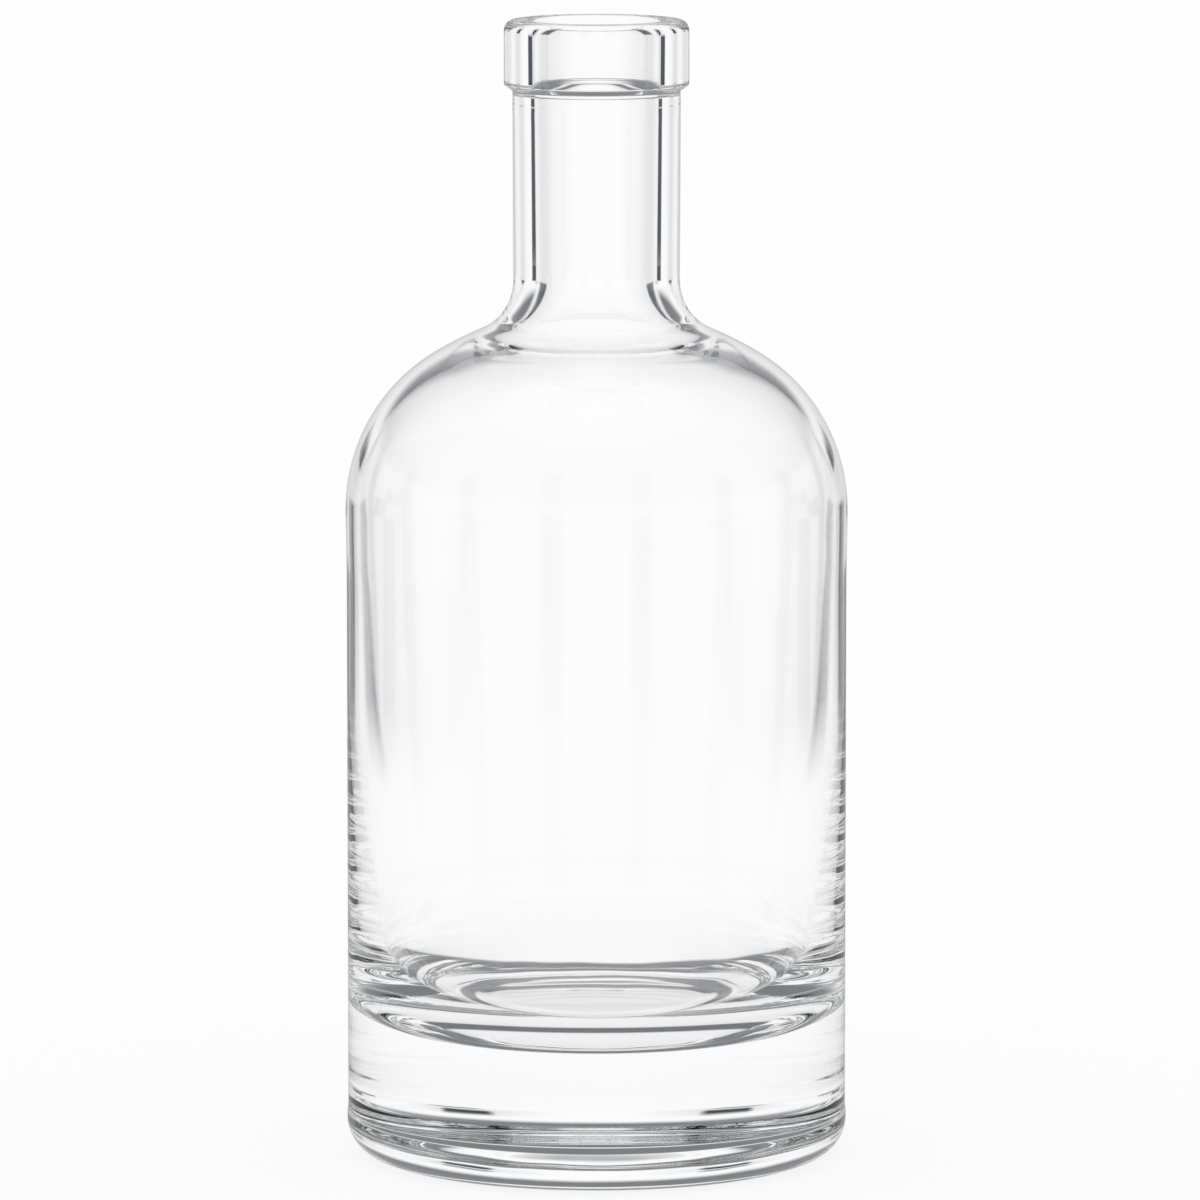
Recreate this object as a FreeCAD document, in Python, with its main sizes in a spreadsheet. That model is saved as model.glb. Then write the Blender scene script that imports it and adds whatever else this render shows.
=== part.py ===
"""Clear glass spirits bottle: one solid of revolution with a heavy base, a round shoulder and a
straight neck that ends in a wide band for a stopper. Millimetres, +Z up, origin at the centre of
the ring that the bottle stands on."""

import FreeCAD
import Part
import Sketcher
import math
import os

NODE = "bottle"

# Every size that can be chosen by itself, with what it measures.
DRIVING_SIZES = {
    # whole bottle
    "overallHeight": (190.3, "standing ring to the top of the lip"),
    "bodyDiameter": (83.7, "widest diameter, at the heel and the shoulder"),
    # mouth band and neck
    "boreMouthDiameter": (21.0, "bore at the mouth"),
    "boreRootDiameter": (20.16, "bore where it starts to flare"),
    "neckWallTop": (3.46, "glass beside the bore, just under the band"),
    "neckWallRoot": (3.78, "glass beside the bore, at the root of the neck"),
    "bandProjection": (1.42, "how far the band stands out from the neck"),
    "bandHeight": (10.7, "side of the band with its rounded lip"),
    "bandUndercut": (1.05, "height of the slope under the band"),
    "lipOuterRadius": (1.75, "outer rounding of the lip"),
    "lipInnerRadius": (1.2, "inner rounding of the lip"),
    "neckLength": (31.6, "straight neck between the band and the root"),
    "neckRootRadius": (9.0, "hollow curve between neck and shoulder"),
    # shoulder
    "shoulderRadius": (30.3, "lower curve of the shoulder"),
    "shoulderSweep": (58.8, "degrees that the lower curve turns through"),
    "crownRadius": (61.8, "flatter upper curve of the shoulder"),
    # foot
    "heelRadius": (6.2, "rounding between side and underside"),
    "standingRingWidth": (2.6, "flat ring that touches the table"),
    "pushUpHeight": (2.2, "rise of the hollow under the base"),
    "pushUpEdgeRadius": (1.0, "rounding where the ring meets the hollow"),
    # label panel
    "panelRecess": (0.15, "depth of the label panel in the side"),
    "panelLowerHeight": (8.2, "lower edge of the panel above the table"),
    "panelUpperGap": (2.6, "upper edge of the panel below the shoulder curve"),
    "panelEdgeHeight": (0.9, "height over which the edges of the panel slope"),
    # cavity
    "wallAtShoulder": (2.2, "side wall where the shoulder starts"),
    "wallAtHeel": (2.72, "side wall where it starts to thicken"),
    "thickWallHeight": (78.4, "height where the wall starts to thicken"),
    "cavityShoulderRadius": (26.85, "lower curve of the shoulder, inside"),
    "cavityShoulderSweep": (60.7, "degrees that this inner curve turns through"),
    "cavityCrownRadius": (43.9, "upper curve of the shoulder, inside"),
    "cavityRootRadius": (13.6, "flare of the bore into the shoulder"),
    "boreRootRise": (1.2, "start of the flare above the root of the neck"),
    "thickWallRadius": (570.0, "long curve by which the wall thickens"),
    "cavityHeelUpperRadius": (25.5, "curve from the thick wall into the corner"),
    "cavityHeelUpperSweep": (12.4, "degrees that this curve turns through"),
    "cavityHeelRadius": (17.5, "corner between the wall and the cavity floor"),
    "baseThickness": (21.2, "cavity floor above the table"),
}

FIND_TOLERANCE = 0.02
STEEPEST_BEND = 40.0
HALVINGS = 60
OVERCUT = 1.0

# Ends of a line or an arc, and the sketch's own origin and vertical axis.
START = 1
END = 2
CENTRE = 3
ORIGIN = -1
AXIS = -2


def size(name):
    return DRIVING_SIZES[name][0]


def makeSheet(doc):
    sheet = doc.addObject("Spreadsheet::Sheet", "Sizes")
    for row, (name, (value, meaning)) in enumerate(DRIVING_SIZES.items(), start=1):
        sheet.set("A%d" % row, name)
        sheet.set("B%d" % row, str(value))
        sheet.set("C%d" % row, meaning)
        sheet.setAlias("B%d" % row, name)
    doc.recompute()
    return sheet


class HalfSection:
    """A closed outline in the XZ plane, drawn end to end, for turning about Z."""

    def __init__(self, body, name):
        self.sketch = body.newObject("Sketcher::SketchObject", name)
        plane = next(p for p in body.Origin.OriginFeatures if p.Role == "XZ_Plane")
        self.sketch.AttachmentSupport = (plane, [""])
        self.sketch.MapMode = "FlatFace"
        self.ends = {}

    def line(self, start, end):
        edge = Part.LineSegment(FreeCAD.Vector(*start, 0), FreeCAD.Vector(*end, 0))
        index = self.sketch.addGeometry(edge, False)
        self.ends[index] = (START, END)
        return index

    def arc(self, centre, radius, fromAngle, toAngle):
        """An arc drawn from one angle to the other, in degrees, either way round."""
        low, high = sorted((math.radians(fromAngle), math.radians(toAngle)))
        circle = Part.Circle(FreeCAD.Vector(*centre, 0), FreeCAD.Vector(0, 0, 1), radius)
        index = self.sketch.addGeometry(Part.ArcOfCircle(circle, low, high), False)
        self.ends[index] = (START, END) if fromAngle < toAngle else (END, START)
        return index

    def rule(self, kind, *geometry):
        return self.sketch.addConstraint(Sketcher.Constraint(kind, *geometry))

    def meet(self, first, second, smooth=False):
        """Joins the far end of one edge to the near end of the next."""
        kind = "Tangent" if smooth else "Coincident"
        self.rule(kind, first, self.ends[first][1], second, self.ends[second][0])

    def bind(self, name, expression, kind, *geometry):
        """Adds a dimension and ties its value to the sheet."""
        index = self.rule(kind, *geometry)
        self.sketch.renameConstraint(index, name)
        self.sketch.setExpression("Constraints." + name, expression)

    def measure(self, name, kind, *geometry):
        """Adds a dimension that only reads the outline, for other sketches to use."""
        index = self.rule(kind, *geometry)
        self.sketch.setDriving(index, False)
        self.sketch.renameConstraint(index, name)


def turn(centre, radius, angle):
    """The point of a circle at an angle in degrees."""
    a = math.radians(angle)
    return (centre[0] + radius * math.cos(a), centre[1] + radius * math.sin(a))


def domeCurves(rim, lowerRadius, sweep, upperRadius, rootRadius, rootLine, startAngle=0.0):
    """Centres and end angle of a two-arc dome that a hollow curve carries into a neck.

    rim is the point where the dome starts, rootLine the radius of the neck's root, and
    startAngle the direction of the dome's normal at the rim. Heights are from the rim."""
    lower = turn(rim, -lowerRadius, startAngle)
    joint = startAngle + sweep
    upper = turn(lower, lowerRadius - upperRadius, joint)
    across = rootLine + rootRadius - upper[0]
    along = math.sqrt((upperRadius + rootRadius) ** 2 - across ** 2)
    root = (rootLine + rootRadius, upper[1] + along)
    return lower, upper, root, joint, math.degrees(math.atan2(along, across))


def heelCurves(wallFoot, draft, bend, upper, sweep, corner, floor):
    """Centres of the three curves that carry the wall down into the cavity floor.

    Also gives the angle at which the long curve ends, which is where the corner just
    reaches the floor."""
    bendCentre = turn(wallFoot, -bend, -draft)
    high = -draft
    low = -STEEPEST_BEND
    for _ in range(HALVINGS):
        bendEnd = (high + low) / 2
        upperCentre = turn(bendCentre, bend - upper, bendEnd)
        cornerCentre = turn(upperCentre, upper - corner, bendEnd - sweep)
        if cornerCentre[1] - corner > floor:
            high = bendEnd
        else:
            low = bendEnd
    return bendCentre, upperCentre, cornerCentre, bendEnd


def outsideOutline(body):
    """The outer form, drawn solid: heel, side, shoulder, neck and band."""
    radius = size("bodyDiameter") / 2
    heel = size("heelRadius")
    height = size("overallHeight")
    neckTop = size("boreMouthDiameter") / 2 + size("neckWallTop")
    neckRoot = size("boreRootDiameter") / 2 + size("neckWallRoot")
    band = neckTop + size("bandProjection")
    bandFoot = height - size("bandHeight")
    undercutFoot = bandFoot - size("bandUndercut")
    rootHeight = undercutFoot - size("neckLength")
    crown = size("crownRadius")
    hollow = size("neckRootRadius")
    lower, upper, root, joint, top = domeCurves(
        (radius, 0), size("shoulderRadius"), size("shoulderSweep"), crown, hollow, neckRoot
    )
    lift = rootHeight - root[1]
    lower, upper, root = [(c[0], c[1] + lift) for c in (lower, upper, root)]

    s = HalfSection(body, "OutsideOutline")
    foot = s.line((0, 0), (radius - heel, 0))
    heelArc = s.arc((radius - heel, heel), heel, -90, 0)
    side = s.line((radius, heel), (radius, lift))
    shoulder = s.arc(lower, size("shoulderRadius"), 0, joint)
    crownArc = s.arc(upper, crown, joint, top)
    rootArc = s.arc(root, hollow, top + 180, 180)
    neck = s.line((neckRoot, rootHeight), (neckTop, undercutFoot))
    undercut = s.line((neckTop, undercutFoot), (band, bandFoot))
    bandSide = s.line((band, bandFoot), (band, height))
    lipTop = s.line((band, height), (0, height))
    middle = s.line((0, height), (0, 0))

    s.meet(foot, heelArc, smooth=True)
    s.meet(heelArc, side, smooth=True)
    s.meet(side, shoulder, smooth=True)
    s.meet(shoulder, crownArc, smooth=True)
    s.meet(crownArc, rootArc, smooth=True)
    s.meet(rootArc, neck, smooth=True)
    s.meet(neck, undercut)
    s.meet(undercut, bandSide)
    s.meet(bandSide, lipTop)
    s.meet(lipTop, middle)
    s.meet(middle, foot)
    s.rule("Coincident", foot, START, ORIGIN, START)
    s.rule("Horizontal", foot)
    s.rule("Vertical", side)
    s.rule("Vertical", bandSide)
    s.rule("Horizontal", lipTop)
    s.rule("Vertical", middle)

    s.bind("bodyRadius", "Sizes.bodyDiameter / 2", "DistanceX", ORIGIN, START, side, START, radius)
    s.bind("heelRounding", "Sizes.heelRadius", "Radius", heelArc, heel)
    s.bind("shoulderCurve", "Sizes.shoulderRadius", "Radius", shoulder, size("shoulderRadius"))
    sweep = math.radians(size("shoulderSweep"))
    s.bind("shoulderTurn", "Sizes.shoulderSweep * 1 deg", "Angle", shoulder, sweep)
    s.bind("crownCurve", "Sizes.crownRadius", "Radius", crownArc, crown)
    s.bind("rootCurve", "Sizes.neckRootRadius", "Radius", rootArc, hollow)
    s.bind("neckRootRadius", "Sizes.boreRootDiameter / 2 + Sizes.neckWallRoot",
           "DistanceX", ORIGIN, START, neck, START, neckRoot)
    s.bind("neckTopRadius", "Sizes.boreMouthDiameter / 2 + Sizes.neckWallTop",
           "DistanceX", ORIGIN, START, neck, END, neckTop)
    s.bind("neckRise", "Sizes.neckLength", "DistanceY", neck, START, neck, END, size("neckLength"))
    s.bind("undercutRise", "Sizes.bandUndercut",
           "DistanceY", undercut, START, undercut, END, size("bandUndercut"))
    s.bind("undercutReach", "Sizes.bandProjection",
           "DistanceX", undercut, START, undercut, END, size("bandProjection"))
    s.bind("bandRise", "Sizes.bandHeight",
           "DistanceY", bandSide, START, bandSide, END, size("bandHeight"))
    s.bind("fullHeight", "Sizes.overallHeight", "DistanceY", ORIGIN, START, lipTop, START, height)
    s.measure("shoulderStart", "DistanceY", ORIGIN, START, side, END, lift)
    return s.sketch


def cavityOutline(body):
    """The space inside: drafted bore, flare, shoulder, side wall that thickens, floor."""
    height = size("overallHeight")
    radius = size("bodyDiameter") / 2
    mouth = size("boreMouthDiameter") / 2
    root = size("boreRootDiameter") / 2
    flareTop = (height - size("bandHeight") - size("bandUndercut") - size("neckLength")
                + size("boreRootRise"))
    flare = size("cavityRootRadius")
    crown = size("cavityCrownRadius")
    wallTop = radius - size("wallAtShoulder")
    wallFoot = radius - size("wallAtHeel")
    footHeight = size("thickWallHeight")
    floor = size("baseThickness")
    bend = size("thickWallRadius")
    upperHeel = size("cavityHeelUpperRadius")
    heelSweep = size("cavityHeelUpperSweep")
    corner = size("cavityHeelRadius")

    draft = 0.0
    for _ in range(20):
        lower, upper, flareCentre, joint, top = domeCurves(
            (wallTop, 0), size("cavityShoulderRadius"), size("cavityShoulderSweep"), crown,
            flare, root, -draft
        )
        wallHeight = flareTop - flareCentre[1]
        draft = math.degrees(math.atan2(wallTop - wallFoot, wallHeight - footHeight))
    lower, upper, flareCentre = [
        (c[0], c[1] + wallHeight) for c in (lower, upper, flareCentre)
    ]
    bendCentre, upperCentre, cornerCentre, bendEnd = heelCurves(
        (wallFoot, footHeight), draft, bend, upperHeel, heelSweep, corner, floor
    )
    cornerStart = bendEnd - heelSweep

    s = HalfSection(body, "CavityOutline")
    opening = s.line((0, height), (mouth, height))
    bore = s.line((mouth, height), (root, flareTop))
    flareArc = s.arc(flareCentre, flare, 180, top + 180)
    crownArc = s.arc(upper, crown, top, joint)
    shoulder = s.arc(lower, size("cavityShoulderRadius"), joint, -draft)
    wall = s.line((wallTop, wallHeight), (wallFoot, footHeight))
    bendArc = s.arc(bendCentre, bend, -draft, bendEnd)
    upperHeelArc = s.arc(upperCentre, upperHeel, bendEnd, cornerStart)
    cornerArc = s.arc(cornerCentre, corner, cornerStart, -90)
    bottom = s.line((cornerCentre[0], floor), (0, floor))
    middle = s.line((0, floor), (0, height))

    s.meet(opening, bore)
    s.meet(bore, flareArc)
    s.meet(flareArc, crownArc, smooth=True)
    s.meet(crownArc, shoulder, smooth=True)
    s.meet(shoulder, wall, smooth=True)
    s.meet(wall, bendArc, smooth=True)
    s.meet(bendArc, upperHeelArc, smooth=True)
    s.meet(upperHeelArc, cornerArc, smooth=True)
    s.meet(cornerArc, bottom, smooth=True)
    s.meet(bottom, middle)
    s.meet(middle, opening)
    s.rule("PointOnObject", opening, START, AXIS)
    s.rule("PointOnObject", bottom, END, AXIS)
    s.rule("Horizontal", opening)
    s.rule("Horizontal", bottom)
    s.rule("Horizontal", flareArc, CENTRE, bore, END)

    s.bind("mouthHeight", "Sizes.overallHeight", "DistanceY", ORIGIN, START, bore, START, height)
    s.bind("mouthRadius", "Sizes.boreMouthDiameter / 2",
           "DistanceX", ORIGIN, START, bore, START, mouth)
    s.bind("boreRootRadius", "Sizes.boreRootDiameter / 2",
           "DistanceX", ORIGIN, START, bore, END, root)
    s.bind("flareHeight",
           "Sizes.overallHeight - Sizes.bandHeight - Sizes.bandUndercut - Sizes.neckLength"
           " + Sizes.boreRootRise", "DistanceY", ORIGIN, START, bore, END, flareTop)
    s.bind("flareCurve", "Sizes.cavityRootRadius", "Radius", flareArc, flare)
    s.bind("crownCurve", "Sizes.cavityCrownRadius", "Radius", crownArc, crown)
    s.bind("shoulderCurve", "Sizes.cavityShoulderRadius",
           "Radius", shoulder, size("cavityShoulderRadius"))
    sweep = math.radians(size("cavityShoulderSweep"))
    s.bind("shoulderTurn", "Sizes.cavityShoulderSweep * 1 deg", "Angle", shoulder, sweep)
    s.bind("wallTopRadius", "Sizes.bodyDiameter / 2 - Sizes.wallAtShoulder",
           "DistanceX", ORIGIN, START, wall, START, wallTop)
    s.bind("wallFootRadius", "Sizes.bodyDiameter / 2 - Sizes.wallAtHeel",
           "DistanceX", ORIGIN, START, wall, END, wallFoot)
    s.bind("wallFootHeight", "Sizes.thickWallHeight",
           "DistanceY", ORIGIN, START, wall, END, footHeight)
    s.bind("bendCurve", "Sizes.thickWallRadius", "Radius", bendArc, bend)
    s.bind("upperHeelCurve", "Sizes.cavityHeelUpperRadius", "Radius", upperHeelArc, upperHeel)
    heelTurn = math.radians(heelSweep)
    s.bind("upperHeelTurn", "Sizes.cavityHeelUpperSweep * 1 deg", "Angle", upperHeelArc, heelTurn)
    s.bind("cornerCurve", "Sizes.cavityHeelRadius", "Radius", cornerArc, corner)
    s.bind("floorHeight", "Sizes.baseThickness",
           "DistanceY", ORIGIN, START, bottom, START, floor)
    return s.sketch


def pushUpOutline(body):
    """The shallow dome under the base, inside the standing ring."""
    rim = size("bodyDiameter") / 2 - size("heelRadius") - size("standingRingWidth")
    rise = size("pushUpHeight")
    dome = (rim ** 2 + rise ** 2) / (2 * rise)
    rimAngle = math.degrees(math.atan2(dome - rise, rim))

    s = HalfSection(body, "PushUpOutline")
    table = s.line((0, 0), (rim, 0))
    roof = s.arc((0, rise - dome), dome, rimAngle, 90)
    middle = s.line((0, rise), (0, 0))
    s.meet(table, roof)
    s.meet(roof, middle)
    s.meet(middle, table)
    s.rule("Coincident", table, START, ORIGIN, START)
    s.rule("Horizontal", table)
    s.rule("Vertical", middle)
    s.rule("PointOnObject", roof, CENTRE, AXIS)
    s.bind("rimRadius", "Sizes.bodyDiameter / 2 - Sizes.heelRadius - Sizes.standingRingWidth",
           "DistanceX", ORIGIN, START, table, END, rim)
    s.bind("rise", "Sizes.pushUpHeight", "DistanceY", ORIGIN, START, middle, START, rise)
    return s.sketch


def panelOutline(body, shoulderStart):
    """The shallow band round the side where a label would go."""
    radius = size("bodyDiameter") / 2
    floor = radius - size("panelRecess")
    low = size("panelLowerHeight")
    high = shoulderStart - size("panelUpperGap")
    edge = size("panelEdgeHeight")
    out = radius + OVERCUT
    reach = edge * (OVERCUT + size("panelRecess")) / size("panelRecess")

    s = HalfSection(body, "PanelOutline")
    face = s.line((floor, low), (floor, high))
    upper = s.line((floor, high), (out, high + reach))
    outer = s.line((out, high + reach), (out, low - reach))
    lower = s.line((out, low - reach), (floor, low))
    s.meet(face, upper)
    s.meet(upper, outer)
    s.meet(outer, lower)
    s.meet(lower, face)
    s.rule("Vertical", face)
    s.rule("Vertical", outer)
    s.bind("faceRadius", "Sizes.bodyDiameter / 2 - Sizes.panelRecess",
           "DistanceX", ORIGIN, START, face, START, floor)
    s.bind("lowerHeight", "Sizes.panelLowerHeight",
           "DistanceY", ORIGIN, START, face, START, low)
    s.bind("upperHeight", "OutsideOutline.Constraints.shoulderStart - Sizes.panelUpperGap * 1 mm",
           "DistanceY", ORIGIN, START, face, END, high)
    slope = "Sizes.panelEdgeHeight * (%g + Sizes.panelRecess) / Sizes.panelRecess" % OVERCUT
    s.bind("outerReach", "Sizes.panelRecess + %g" % OVERCUT,
           "DistanceX", upper, START, upper, END, out - floor)
    s.bind("upperSlope", slope, "DistanceY", upper, START, upper, END, reach)
    s.bind("lowerSlope", slope, "DistanceY", lower, START, lower, END, reach)
    return s.sketch


def turnAbout(body, kind, name, sketch):
    """Turns an outline once round Z, to add glass or to take it away."""
    feature = body.newObject(kind, name)
    feature.Profile = sketch
    feature.ReferenceAxis = (sketch, ["V_Axis"])
    feature.Angle = 360.0
    sketch.Visibility = False
    body.Document.recompute()
    return feature


def cutRound(body, name, sketch):
    before = body.Shape.Volume
    feature = turnAbout(body, "PartDesign::Groove", name, sketch)
    if not body.Shape.Volume < before:
        raise RuntimeError(name + " took nothing away")
    return feature


def circleAt(feature, radius, height):
    """Name of the round edge of a feature that has this radius at this height."""
    for number, edge in enumerate(feature.Shape.Edges, start=1):
        if edge.Degenerated or not isinstance(edge.Curve, Part.Circle):
            continue
        curve = edge.Curve
        offset = max(abs(curve.Radius - radius), abs(curve.Center.z - height))
        if offset < FIND_TOLERANCE:
            return "Edge%d" % number
    raise RuntimeError("no round edge of radius %.2f at height %.2f" % (radius, height))


def roundEdge(body, name, feature, radius, height, expression):
    fillet = body.newObject("PartDesign::Fillet", name)
    fillet.Base = (feature, [circleAt(feature, radius, height)])
    fillet.setExpression("Radius", expression)
    body.Document.recompute()
    return fillet


def buildBottle(doc):
    body = doc.addObject("PartDesign::Body", "Bottle")
    body.Label = NODE
    body.Placement = FreeCAD.Placement()
    outline = outsideOutline(body)
    doc.recompute()
    turnAbout(body, "PartDesign::Revolution", "OutsideForm", outline)
    shoulderStart = outline.getDatum("shoulderStart").Value
    cutRound(body, "LabelPanel", panelOutline(body, shoulderStart))
    pushUp = cutRound(body, "PushUp", pushUpOutline(body))
    ringInside = size("bodyDiameter") / 2 - size("heelRadius") - size("standingRingWidth")
    roundEdge(body, "PushUpEdge", pushUp, ringInside, 0, "Sizes.pushUpEdgeRadius")
    cavity = cutRound(body, "Cavity", cavityOutline(body))
    height = size("overallHeight")
    bore = size("boreMouthDiameter") / 2
    band = bore + size("neckWallTop") + size("bandProjection")
    lip = "min(Sizes.%s; 0.45 * (Sizes.neckWallTop + Sizes.bandProjection))"
    outer = roundEdge(body, "LipOutside", cavity, band, height, lip % "lipOuterRadius")
    roundEdge(body, "LipInside", outer, bore, height, lip % "lipInnerRadius")
    return body


def checkAll(doc, body):
    doc.recompute()
    for item in doc.Objects:
        for fault in ("Invalid", "Error"):
            if fault in item.State:
                raise RuntimeError(item.Name + " did not compute")
        if item.isDerivedFrom("Sketcher::SketchObject") and not item.FullyConstrained:
            raise RuntimeError(item.Name + " has free dimensions")
    shape = body.Shape
    if shape.isNull() or not shape.isValid() or len(shape.Solids) != 1:
        raise RuntimeError("the bottle is not one valid solid")


def main():
    doc = FreeCAD.newDocument("SpiritsBottle")
    makeSheet(doc)
    body = buildBottle(doc)
    checkAll(doc, body)
    shape = body.Shape
    box = shape.optimalBoundingBox()
    print("bottle %.2f x %.2f x %.2f mm" % (box.XLength, box.YLength, box.ZLength))
    print("glass %.1f cm3" % (shape.Volume / 1000))
    os.makedirs("parts", exist_ok=True)
    shape.exportStep("parts/" + body.Label + ".step")


main()
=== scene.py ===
import math

import bmesh
import bpy
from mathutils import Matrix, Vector, noise


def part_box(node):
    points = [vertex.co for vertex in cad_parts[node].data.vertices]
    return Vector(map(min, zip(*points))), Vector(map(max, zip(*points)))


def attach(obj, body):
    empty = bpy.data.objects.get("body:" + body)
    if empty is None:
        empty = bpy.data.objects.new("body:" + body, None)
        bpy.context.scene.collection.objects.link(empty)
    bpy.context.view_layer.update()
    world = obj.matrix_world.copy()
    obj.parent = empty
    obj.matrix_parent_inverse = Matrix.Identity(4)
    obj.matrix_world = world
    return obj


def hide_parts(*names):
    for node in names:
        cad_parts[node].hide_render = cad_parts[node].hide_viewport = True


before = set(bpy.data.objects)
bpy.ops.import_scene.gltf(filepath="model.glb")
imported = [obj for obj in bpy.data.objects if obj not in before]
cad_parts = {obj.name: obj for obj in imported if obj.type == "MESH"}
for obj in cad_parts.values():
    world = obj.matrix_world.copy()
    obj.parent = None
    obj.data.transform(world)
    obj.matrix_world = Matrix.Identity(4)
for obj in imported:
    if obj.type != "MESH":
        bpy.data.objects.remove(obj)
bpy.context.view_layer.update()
print("frame loaded")

mmPerMetre = 1000
white = (1.0, 1.0, 1.0, 1.0)

# An outline is a list of points (distance from the axis, height) in millimetres.


def pointOn(centre, radius, angle):
    # angle in degrees from the outward direction, anticlockwise
    a = math.radians(angle)
    return (centre[0] + radius * math.cos(a), centre[1] + radius * math.sin(a))


def addArc(outline, centre, radius, fromAngle, toAngle, turnPerStep):
    steps = max(2, math.ceil(abs(toAngle - fromAngle) / turnPerStep))
    for i in range(steps + 1):
        outline.append(pointOn(centre, radius, fromAngle + (toAngle - fromAngle) * i / steps))


def addLine(outline, end, spacing=2.0):
    start = outline[-1]
    steps = max(1, math.ceil(math.dist(start, end) / spacing))
    for i in range(1, steps + 1):
        outline.append(tuple(s + (e - s) * i / steps for s, e in zip(start, end)))


def addEase(outline, end, steps=14):
    # a soft step, level at both ends
    start = outline[-1]
    for i in range(1, steps + 1):
        t = i / steps
        ease = (1 - math.cos(math.pi * t)) / 2
        outline.append((start[0] + (end[0] - start[0]) * ease,
                        start[1] + (end[1] - start[1]) * t))


def domeCurves(rim, lowerRadius, sweep, upperRadius, rootRadius, rootLine, startAngle=0.0):
    # A dome of two arcs, which a hollow curve carries into the neck. Gives the three centres,
    # the angle where the arcs meet and the angle where the dome meets the hollow curve.
    lower = pointOn(rim, -lowerRadius, startAngle)
    joint = startAngle + sweep
    upper = pointOn(lower, lowerRadius - upperRadius, joint)
    across = rootLine + rootRadius - upper[0]
    along = math.sqrt((upperRadius + rootRadius) ** 2 - across ** 2)
    root = (rootLine + rootRadius, upper[1] + along)
    return lower, upper, root, joint, math.degrees(math.atan2(along, across))


# millimetres and degrees; the overall height and width come from the frame
bottleForm = {
    "boreMouthRadius": 10.5,
    "boreRootRadius": 10.08,
    "neckWallTop": 3.46,
    "neckWallRoot": 3.78,
    "bandProjection": 1.42,
    "bandHeight": 10.7,
    "bandUndercut": 1.05,
    "bandFootRounding": 0.35,
    "bandFootDrop": 0.75,       # shares of that rounding: the dip below the band
    "bandFootLift": 0.3,        # and the rise of its centre
    "bandFootStart": -70.0,
    "lipOuterRadius": 1.75,
    "lipInnerRadius": 1.2,
    "lipFlatEdge": 0.05,        # narrow flat outside the inner rounding
    "neckLength": 31.6,
    "neckRootRadius": 9.0,
    "shoulderRadius": 30.3,
    "shoulderSweep": 58.8,
    "crownRadius": 61.8,
    "heelRadius": 6.2,
    "standingRingWidth": 2.6,
    "pushUpHeight": 2.2,
    "pushUpRimInside": 0.2,     # slope between the hollow and the standing ring
    "pushUpRimOutside": 0.15,
    "pushUpRimHeight": 0.02,
    "pushUpStepRadius": 24.0,   # low step that the mould leaves in the hollow
    "pushUpStepDepth": 0.3,
    "pushUpStepSharpness": 3.0,
    "panelRecess": 0.15,
    "panelLowerHeight": 8.2,
    "panelUpperGap": 2.6,
    "panelLowerEase": 1.2,
    "panelUpperEase": 9.0,
    "neckBeadGap": 3.0,         # parting line below the band
    "neckBeadHeight": 0.9,
    "neckBeadDepth": 0.03,
    "wallAtShoulder": 2.2,
    "wallAtHeel": 2.72,
    "thickWallHeight": 78.4,
    "cavityShoulderRadius": 26.85,
    "cavityShoulderSweep": 60.7,
    "cavityCrownRadius": 43.9,
    "cavityRootRadius": 13.6,
    "boreRootRise": 1.2,
    "rootRingHeight": 138.2,    # low ridge where the bore opens
    "rootRingWidth": 0.8,
    "rootRingDepth": 0.16,
    "thickWallRadius": 570.0,
    "cavityHeelUpperRadius": 25.5,
    "cavityHeelUpperSweep": 12.4,
    "cavityHeelRadius": 17.5,
    "baseThickness": 21.2,
    "turnSteps": 240,
}


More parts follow.
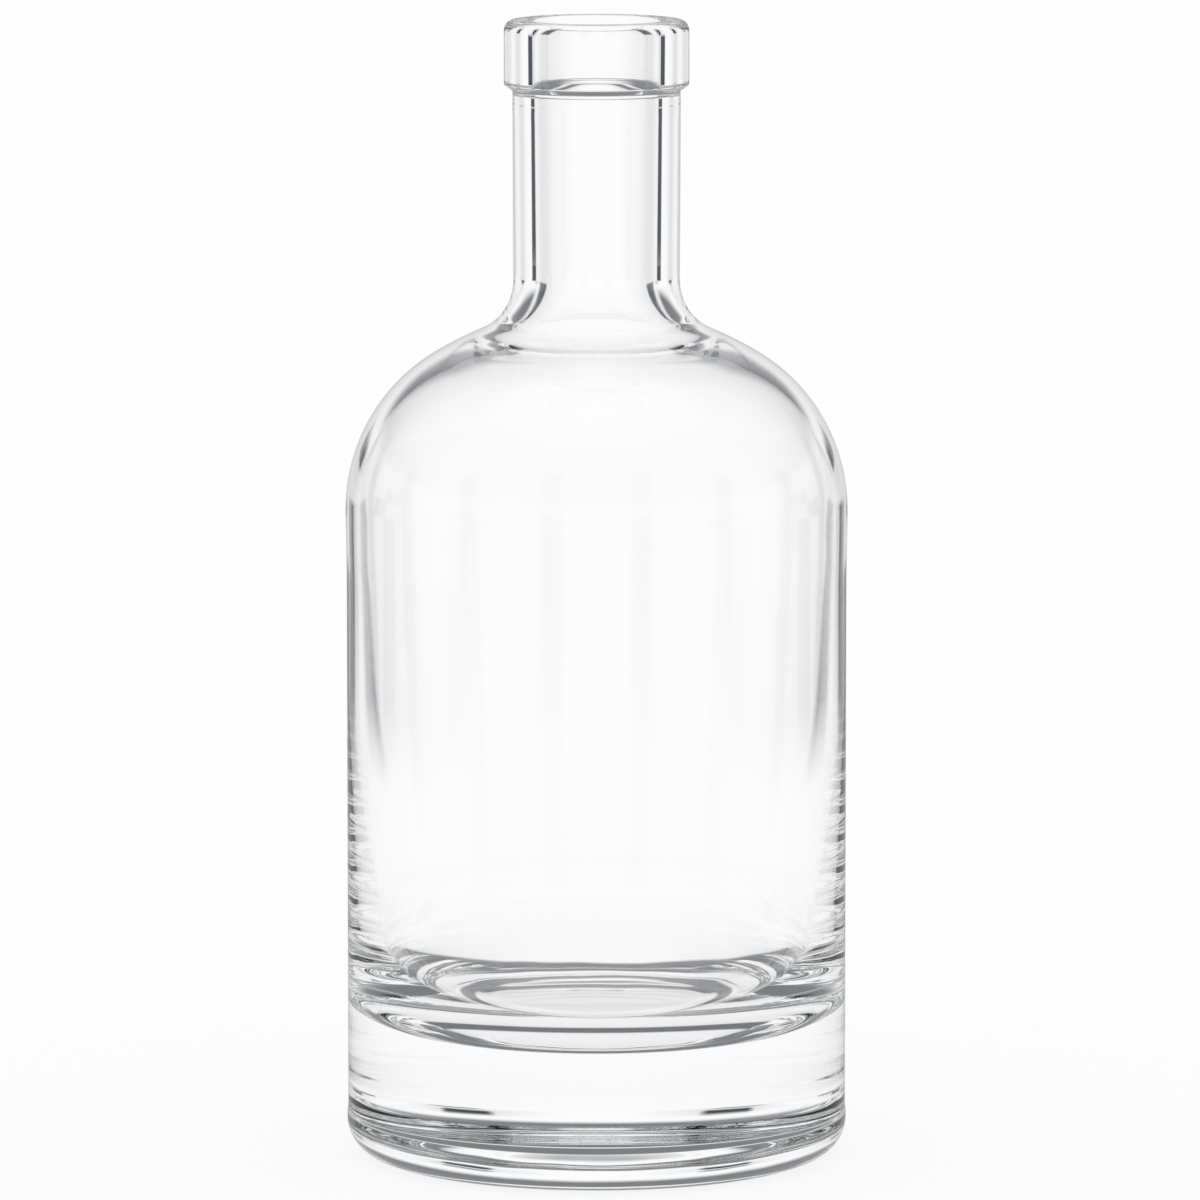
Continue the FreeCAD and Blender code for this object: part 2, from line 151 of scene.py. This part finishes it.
def outsidePoints(form, radius, height):
    # from the axis under the base, out and up to the top of the lip
    neckTop = form["boreMouthRadius"] + form["neckWallTop"]
    neckRoot = form["boreRootRadius"] + form["neckWallRoot"]
    band = neckTop + form["bandProjection"]
    bandFoot = height - form["bandHeight"]
    undercutFoot = bandFoot - form["bandUndercut"]
    rootHeight = undercutFoot - form["neckLength"]
    heel = form["heelRadius"]
    lower, upper, root, joint, top = domeCurves(
        (radius, 0), form["shoulderRadius"], form["shoulderSweep"], form["crownRadius"],
        form["neckRootRadius"], neckRoot)
    lift = rootHeight - root[1]
    lower, upper, root = [(c[0], c[1] + lift) for c in (lower, upper, root)]

    ringInside = radius - heel - form["standingRingWidth"]
    rise = form["pushUpHeight"]
    domeRadius = (ringInside ** 2 + rise ** 2) / (2 * rise)
    outline = [(0.0, rise)]
    rimAngle = math.degrees(math.asin((ringInside - form["pushUpRimInside"]) / domeRadius))
    addArc(outline, (0, rise - domeRadius), domeRadius, 90, 90 - rimAngle, turnPerStep=0.5)
    for i, (r, z) in enumerate(outline):
        beyond = (form["pushUpStepRadius"] - r) * form["pushUpStepSharpness"]
        fall = 1 / (1 + math.exp(beyond))
        outline[i] = (r, max(form["pushUpRimHeight"], z - form["pushUpStepDepth"] * fall))
    outline.append((ringInside + form["pushUpRimOutside"], 0.0))
    addLine(outline, (radius - heel, 0.0), spacing=0.6)
    addArc(outline, (radius - heel, heel), heel, -90, 0, turnPerStep=5.0)

    recess = form["panelRecess"]
    addLine(outline, (radius, form["panelLowerHeight"] - form["panelLowerEase"]), spacing=0.5)
    addEase(outline, (radius - recess, form["panelLowerHeight"]))
    panelTop = lift - form["panelUpperGap"]
    addLine(outline, (radius - recess, panelTop - form["panelUpperEase"]))
    addEase(outline, (radius, lift))
    addArc(outline, lower, form["shoulderRadius"], 0, joint, turnPerStep=2.5)
    addArc(outline, upper, form["crownRadius"], joint, top, turnPerStep=1.2)
    addArc(outline, root, form["neckRootRadius"], top + 180, 180, turnPerStep=2.5)

    bead = undercutFoot - form["neckBeadGap"]
    slope = (neckTop - neckRoot) / form["neckLength"]
    for level in (-0.5, -0.25, 0.0, 0.25, 0.5):
        z = bead + level * form["neckBeadHeight"]
        bulge = (1 - 2 * abs(level)) * form["neckBeadDepth"]
        addLine(outline, (neckRoot + slope * (z - rootHeight) + bulge, z))
    addLine(outline, (neckTop, undercutFoot), spacing=1.0)

    foot = form["bandFootRounding"]
    addLine(outline, (band - foot, bandFoot - foot * form["bandFootDrop"]), spacing=0.4)
    addArc(outline, (band - foot, bandFoot + foot * form["bandFootLift"]), foot,
           form["bandFootStart"], 0, turnPerStep=15.0)
    lip = form["lipOuterRadius"]
    addLine(outline, (band, height - lip), spacing=1.0)
    addArc(outline, (band - lip, height - lip), lip, 0, 90, turnPerStep=9.0)
    return outline


# how closely the cavity's curves are worked out
cavityFit = {
    "draftPasses": 20,          # the wall's draft and the dome depend on each other
    "halvings": 50,             # of the interval in which the wall's bend ends
    "steepestBend": 40.0,       # degrees, the far end of that interval
}


def cavityPoints(form, radius, height):
    # from the top of the lip down the bore and out to the wall, to the middle of the floor
    mouth = form["boreMouthRadius"]
    root = form["boreRootRadius"]
    flareTop = (height - form["bandHeight"] - form["bandUndercut"] - form["neckLength"]
                + form["boreRootRise"])
    wallTop = radius - form["wallAtShoulder"]
    wallFoot = radius - form["wallAtHeel"]
    footHeight = form["thickWallHeight"]
    draft = 0.0
    for _ in range(cavityFit["draftPasses"]):
        lower, upper, flareCentre, joint, top = domeCurves(
            (wallTop, 0), form["cavityShoulderRadius"], form["cavityShoulderSweep"],
            form["cavityCrownRadius"], form["cavityRootRadius"], root, -draft)
        wallHeight = flareTop - flareCentre[1]
        draft = math.degrees(math.atan2(wallTop - wallFoot, wallHeight - footHeight))
    lower, upper, flareCentre = [(c[0], c[1] + wallHeight) for c in (lower, upper, flareCentre)]

    lip = form["lipInnerRadius"]
    outline = [(mouth + lip + form["lipFlatEdge"], height)]
    addArc(outline, (mouth + lip, height - lip), lip, 90, 180, turnPerStep=9.0)
    addLine(outline, (root, flareTop))
    flareStart = len(outline)
    addArc(outline, flareCentre, form["cavityRootRadius"], 180, top + 180, turnPerStep=1.5)
    for i in range(flareStart, len(outline)):
        r, z = outline[i]
        away = (z - form["rootRingHeight"]) / form["rootRingWidth"]
        outline[i] = (r - form["rootRingDepth"] * math.exp(-away * away), z)
    addArc(outline, upper, form["cavityCrownRadius"], top, joint, turnPerStep=1.5)
    addArc(outline, lower, form["cavityShoulderRadius"], joint, -draft, turnPerStep=2.5)
    addLine(outline, (wallFoot, footHeight))

    bend = form["thickWallRadius"]
    corner = form["cavityHeelRadius"]
    floor = form["baseThickness"]
    upperHeel = form["cavityHeelUpperRadius"]
    sweep = form["cavityHeelUpperSweep"]
    bendCentre = pointOn((wallFoot, footHeight), -bend, -draft)

    def heelCurves(bendEnd):
        # the two heel arcs that follow a bend which ends at this angle
        upperCentre = pointOn(bendCentre, bend - upperHeel, bendEnd)
        return upperCentre, pointOn(upperCentre, upperHeel - corner, bendEnd - sweep)

    high, low = -draft, -cavityFit["steepestBend"]
    for _ in range(cavityFit["halvings"]):
        bendEnd = (high + low) / 2
        if heelCurves(bendEnd)[1][1] - corner > floor:
            high = bendEnd
        else:
            low = bendEnd
    upperCentre, cornerCentre = heelCurves(bendEnd)
    addArc(outline, bendCentre, bend, -draft, bendEnd, turnPerStep=0.25)
    addArc(outline, upperCentre, upperHeel, bendEnd, bendEnd - sweep, turnPerStep=2.5)
    addArc(outline, cornerCentre, corner, bendEnd - sweep, -90, turnPerStep=3.0)
    addLine(outline, (0.0, floor), spacing=1.5)
    return outline


# Unevenness that the mould and the blowing leave: the height where it is strongest, how far it
# spreads up and down, the radii that it keeps between, its depth and its wavelength. Millimetres.
unevenness = [
    {"height": 36.0, "spread": 10.0, "inside": 30.0, "outside": 40.3, "depth": 0.06, "wave": 14.0},
    {"height": 137.0, "spread": 3.0, "inside": 8.0, "outside": 18.0, "depth": 0.04, "wave": 8.0},
    {"height": 3.0, "spread": 4.5, "inside": 36.0, "outside": 42.0, "depth": 0.035, "wave": 9.0},
]
ripple = {
    "squeeze": 2.6,             # how much closer the waves lie up and down than round the wall
    "fineShare": 0.5,           # finer waves on top of the main ones
    "fineRatio": 2.3,
}


def unevenGlass(bm):
    for place in unevenness:
        for vert in bm.verts:
            x, y, z = (c * mmPerMetre for c in vert.co)
            reach = math.hypot(x, y)
            away = abs(z - place["height"]) / place["spread"]
            if away >= 1 or not place["inside"] < reach < place["outside"]:
                continue
            wave = place["wave"]
            up = z * ripple["squeeze"]
            push = noise.noise(Vector((x, y, up)) / wave)
            fine = noise.noise(Vector((y, -x, up)) / wave * ripple["fineRatio"])
            push += ripple["fineShare"] * fine
            push *= place["depth"] * (1 - away * away) ** 2 / mmPerMetre
            vert.co.x += push * x / reach
            vert.co.y += push * y / reach


# fine bars across the standing ring, millimetres
ringStipple = {
    "inside": 34.0,
    "outside": 35.2,
    "depth": 0.06,
    "flatWithin": 0.01,         # what counts as the underside
}


def stippleRing(bm, turnSteps):
    for vert in bm.verts:
        x, y, z = (c * mmPerMetre for c in vert.co)
        onRing = ringStipple["inside"] < math.hypot(x, y) < ringStipple["outside"]
        if onRing and abs(z) < ringStipple["flatWithin"]:
            bar = round(math.atan2(y, x) / math.tau * turnSteps)
            vert.co.z += ringStipple["depth"] / mmPerMetre * (bar % 2)


# metres within which points of the outline, and of the closed turn, become one
mergeWithin = {"outline": 2e-5, "turn": 1e-6}


def spinBottle(form, name):
    low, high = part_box("bottle")
    radius = (high.x - low.x) / 2 * mmPerMetre
    height = high.z * mmPerMetre
    outline = outsidePoints(form, radius, height) + cavityPoints(form, radius, height)
    mesh = bpy.data.meshes.new(name)
    bm = bmesh.new()
    profile = [bm.verts.new((r / mmPerMetre, 0, z / mmPerMetre)) for r, z in outline]
    for a, b in zip(profile, profile[1:]):
        bm.edges.new((a, b))
    bmesh.ops.remove_doubles(bm, verts=bm.verts, dist=mergeWithin["outline"])
    bmesh.ops.spin(bm, geom=bm.verts[:] + bm.edges[:], cent=(0, 0, 0), axis=(0, 0, 1),
                   dvec=(0, 0, 0), angle=math.tau, steps=form["turnSteps"], use_merge=True)
    bmesh.ops.remove_doubles(bm, verts=bm.verts, dist=mergeWithin["turn"])
    unevenGlass(bm)
    stippleRing(bm, form["turnSteps"])
    bmesh.ops.recalc_face_normals(bm, faces=bm.faces)
    for face in bm.faces:
        face.smooth = True
    print("bottle faces", len(bm.faces), "closed", all(e.is_manifold for e in bm.edges),
          "cubic millimetres", round(bm.calc_volume() * mmPerMetre ** 3))
    bm.to_mesh(mesh)
    bm.free()
    piece = bpy.data.objects.new(name, mesh)
    bpy.context.scene.collection.objects.link(piece)
    return piece


flintFinish = {
    "ior": 1.52,
    "mirrorTint": (0.4, 0.42, 0.45, 1.0),       # dims what the glass mirrors straight on
    "depthTint": (0.80, 0.86, 0.86, 1.0),       # colour that thick glass takes on
    "depthDensity": 1.0,
}


def flintGlass():
    material = bpy.data.materials.new("flintGlass")
    material.use_nodes = True
    nodes = material.node_tree.nodes
    shader = nodes["Principled BSDF"]
    shader.inputs["Base Color"].default_value = white
    shader.inputs["Roughness"].default_value = 0.0
    shader.inputs["IOR"].default_value = flintFinish["ior"]
    shader.inputs["Transmission Weight"].default_value = 1.0
    shader.inputs["Specular Tint"].default_value = flintFinish["mirrorTint"]
    absorb = nodes.new("ShaderNodeVolumeAbsorption")
    absorb.inputs["Color"].default_value = flintFinish["depthTint"]
    absorb.inputs["Density"].default_value = flintFinish["depthDensity"]
    material.node_tree.links.new(absorb.outputs[0], nodes["Material Output"].inputs["Volume"])
    return material


bottle = spinBottle(bottleForm, "glassBottle")
bottle.data.materials.append(flintGlass())
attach(bottle, "root")
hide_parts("bottle")
print("bottle made")

# The room is white, with soft dark panels that only the glass sees, so that its edges read.
# The even panels stand between eight directions, from which the body looks the same. The far
# ones give each side of the neck the one dark line that it has from the front and the back.
studio = {
    "floorSize": 6.0,           # metres, as the radii below
    "floorShade": 0.9,
    "floorGlow": 0.86,          # share of the floor that shines by itself
    "panelShade": (0.055, 0.064, 0.078, 1.0),
    "panelCore": 4.0,           # degrees from the middle of a panel: dark up to here
    "panelFade": 7.0,           # and white from here on
    "evenSpacing": 45.0,        # degrees from one even panel to the next
    "evenRadii": (0.26, 0.46),  # where the even panels set in on the floor
    "farSpacing": 180.0,
    "farAzimuth": 58.0,         # degrees of the far panels to each side of every half turn
    "farRadii": (1.0, 1.4),     # where the far panels take over
    "evenShareFar": 0.25,       # how much of the even ones stays there
    "horizonSlopes": (0.0, 0.04),       # where the even ones take over again in the world
    "panelEndSlopes": (0.06, 0.14),     # where they end
    "veilDepth": 0.22,          # faint, broad darkening between the eight directions
    "veilDegrees": (3.0, 22.0),
    "ceilingSlopes": (0.17, 0.30, 0.80, 0.93),      # a dark band round the ceiling
    "ceilingDepth": 0.85,
    "roomDepth": 0.62,          # how dark the glass mirrors the whole room
    "shadowRings": ((0.0265, 0.028, 0.0315, 0.033), (0.042, 0.044, 0.050, 0.055)),
    "shadowDepth": 0.87,        # how dark the glass sees these rings under its base
}


class NodeMaker:
    # adds nodes to a tree and links them in one call

    def __init__(self, tree):
        self.nodes = tree.nodes
        self.links = tree.links

    def feed(self, socket, value):
        if isinstance(value, (int, float, tuple)):
            socket.default_value = value
        elif value is not None:
            self.links.new(value, socket)

    def math(self, operation, first, second=None):
        node = self.nodes.new("ShaderNodeMath")
        node.operation = operation
        self.feed(node.inputs[0], first)
        self.feed(node.inputs[1], second)
        return node.outputs[0]

    def ramp(self, value, low, high, atLow=0.0, atHigh=1.0):
        node = self.nodes.new("ShaderNodeMapRange")
        node.interpolation_type = "SMOOTHSTEP"
        for name, setting in (("Value", value), ("From Min", low), ("From Max", high),
                              ("To Min", atLow), ("To Max", atHigh)):
            self.feed(node.inputs[name], setting)
        return node.outputs[0]

    def blend(self, factor, first, second):
        node = self.nodes.new("ShaderNodeMix")
        node.data_type = "RGBA"
        self.feed(node.inputs["Factor"], factor)
        self.feed(node.inputs["A"], first)
        self.feed(node.inputs["B"], second)
        return node.outputs["Result"]

    def rayIs(self, kind):
        return self.nodes.new("ShaderNodeLightPath").outputs["Is " + kind + " Ray"]

    def mirroredRoom(self):
        # a ray that went through smooth glass counts as glossy too, but isn't a mirror image
        mirrored = self.math("GREATER_THAN", self.rayIs("Glossy"), self.rayIs("Transmission"))
        return self.math("MULTIPLY", mirrored, studio["roomDepth"])

    def panelAt(self, azimuth, spacing, middle):
        # 1 in the middle of each dark panel, 0 between them
        folded = self.math("PINGPONG", azimuth, math.radians(spacing) / 2)
        away = self.math("ABSOLUTE", self.math("SUBTRACT", folded, math.radians(middle)))
        return self.ramp(away, math.radians(studio["panelCore"]),
                         math.radians(studio["panelFade"]), 1.0, 0.0)

    def panels(self, x, y, far):
        # far goes from 0, where only the even panels stand, to 1, where the far ones do
        azimuth = self.math("ARCTAN2", x, y)
        spacing = studio["evenSpacing"]
        even = self.panelAt(azimuth, spacing, spacing / 2)
        distant = self.panelAt(azimuth, studio["farSpacing"], studio["farAzimuth"])
        evenShare = self.ramp(far, 0.0, 1.0, 1.0, studio["evenShareFar"])
        dark = self.math("MAXIMUM", self.math("MULTIPLY", even, evenShare),
                         self.math("MULTIPLY", distant, far))
        start, end = (math.radians(a) for a in studio["veilDegrees"])
        folded = self.math("PINGPONG", azimuth, math.radians(spacing) / 2)
        veil = self.ramp(folded, start, end, 0.0, studio["veilDepth"])
        return self.math("MAXIMUM", dark, veil)


def paleFloor():
    # matt and pale for the light in the room, white for the camera, and with the dark panels
    # and rings for the glass
    material = bpy.data.materials.new("paleFloor")
    material.use_nodes = True
    tree = material.node_tree
    make = NodeMaker(tree)
    matt = tree.nodes["Principled BSDF"]
    shade = studio["floorShade"]
    matt.inputs["Base Color"].default_value = (shade, shade, shade, 1.0)
    matt.inputs["Roughness"].default_value = 1.0
    matt.inputs["Specular IOR Level"].default_value = 0.0

    split = make.nodes.new("ShaderNodeSeparateXYZ")
    make.feed(split.inputs[0], make.nodes.new("ShaderNodeTexCoord").outputs["Object"])
    x, y = split.outputs["X"], split.outputs["Y"]
    reach = make.math("SQRT", make.math("ADD", make.math("MULTIPLY", x, x),
                                        make.math("MULTIPLY", y, y)))
    far = make.ramp(reach, *studio["farRadii"])
    dark = make.math("MULTIPLY", make.panels(x, y, far), make.ramp(reach, *studio["evenRadii"]))
    for inner, start, end, outer in studio["shadowRings"]:
        shadow = make.math("MULTIPLY",
                           make.ramp(reach, inner, start, 0.0, studio["shadowDepth"]),
                           make.ramp(reach, end, outer, 1.0, 0.0))
        dark = make.math("MAXIMUM", dark, shadow)
    dark = make.math("MULTIPLY", dark, make.rayIs("Transmission"))
    dark = make.math("MAXIMUM", dark, make.mirroredRoom())

    glow = make.nodes.new("ShaderNodeEmission")
    make.feed(glow.inputs["Color"], make.blend(dark, white, studio["panelShade"]))
    seenByGlass = make.math("MAXIMUM", make.rayIs("Glossy"), make.rayIs("Transmission"))
    seen = make.math("MAXIMUM", seenByGlass, make.rayIs("Camera"))
    share = make.math("MAXIMUM", studio["floorGlow"], dark)
    mix = make.nodes.new("ShaderNodeMixShader")
    make.feed(mix.inputs[0], make.math("MULTIPLY", share, seen))
    make.feed(mix.inputs[1], matt.outputs[0])
    make.feed(mix.inputs[2], glow.outputs[0])
    make.feed(tree.nodes["Material Output"].inputs["Surface"], mix.outputs[0])
    return material


def makeFloor():
    bm = bmesh.new()
    bmesh.ops.create_grid(bm, x_segments=1, y_segments=1, size=studio["floorSize"] / 2)
    mesh = bpy.data.meshes.new("studioFloor")
    bm.to_mesh(mesh)
    bm.free()
    mesh.materials.append(paleFloor())
    floor = bpy.data.objects.new("studioFloor", mesh)
    bpy.context.scene.collection.objects.link(floor)


def makeWorld():
    world = bpy.data.worlds.new("studio")
    bpy.context.scene.world = world
    world.use_nodes = True
    make = NodeMaker(world.node_tree)
    split = make.nodes.new("ShaderNodeSeparateXYZ")
    make.feed(split.inputs[0], make.nodes.new("ShaderNodeTexCoord").outputs["Generated"])
    rise = split.outputs["Z"]
    far = make.ramp(rise, *studio["horizonSlopes"], 1.0, 0.0)
    dark = make.math("MULTIPLY", make.panels(split.outputs["X"], split.outputs["Y"], far),
                     make.ramp(rise, *studio["panelEndSlopes"], 1.0, 0.0))
    start, full, end, clear = studio["ceilingSlopes"]
    ceiling = make.math("MULTIPLY", make.ramp(rise, start, full, 0.0, studio["ceilingDepth"]),
                        make.ramp(rise, end, clear, 1.0, 0.0))
    dark = make.math("MULTIPLY", make.math("MAXIMUM", dark, ceiling),
                     make.rayIs("Transmission"))
    dark = make.math("MAXIMUM", dark, make.mirroredRoom())
    background = make.nodes["Background"]
    background.inputs["Strength"].default_value = 1.0
    make.feed(background.inputs["Color"], make.blend(dark, white, studio["panelShade"]))


cameraPlace = {
    "distance": 1.6366,         # metres from the point it aims at
    "pitch": 7.36,              # degrees that it looks down
    "aimHeight": 0.0933,
    "aimAside": 0.00057,
    "lens": 294.0,
    "sensorWidth": 36.0,
    "clipStart": 0.05,
    "clipEnd": 50.0,
}


def makeCamera():
    data = bpy.data.cameras.new("camera")
    camera = bpy.data.objects.new("camera", data)
    bpy.context.scene.collection.objects.link(camera)
    data.lens = cameraPlace["lens"]
    data.sensor_width = cameraPlace["sensorWidth"]
    pitch = math.radians(cameraPlace["pitch"])
    aim = Vector((cameraPlace["aimAside"], 0, cameraPlace["aimHeight"]))
    back = Vector((0, -math.cos(pitch), math.sin(pitch)))
    camera.location = aim + back * cameraPlace["distance"]
    camera.rotation_euler = (-back).to_track_quat("-Z", "Y").to_euler()
    data.clip_start = cameraPlace["clipStart"]
    data.clip_end = cameraPlace["clipEnd"]
    bpy.context.scene.camera = camera


# enough for the many turns that light takes inside the thick base
bounces = {"max": 32, "transmission": 32, "glossy": 24}

makeFloor()
makeWorld()
makeCamera()
scene = bpy.context.scene
scene.view_settings.view_transform = "Standard"
scene.cycles.max_bounces = bounces["max"]
scene.cycles.transmission_bounces = bounces["transmission"]
scene.cycles.glossy_bounces = bounces["glossy"]
scene.cycles.use_denoising = True
print("studio made")
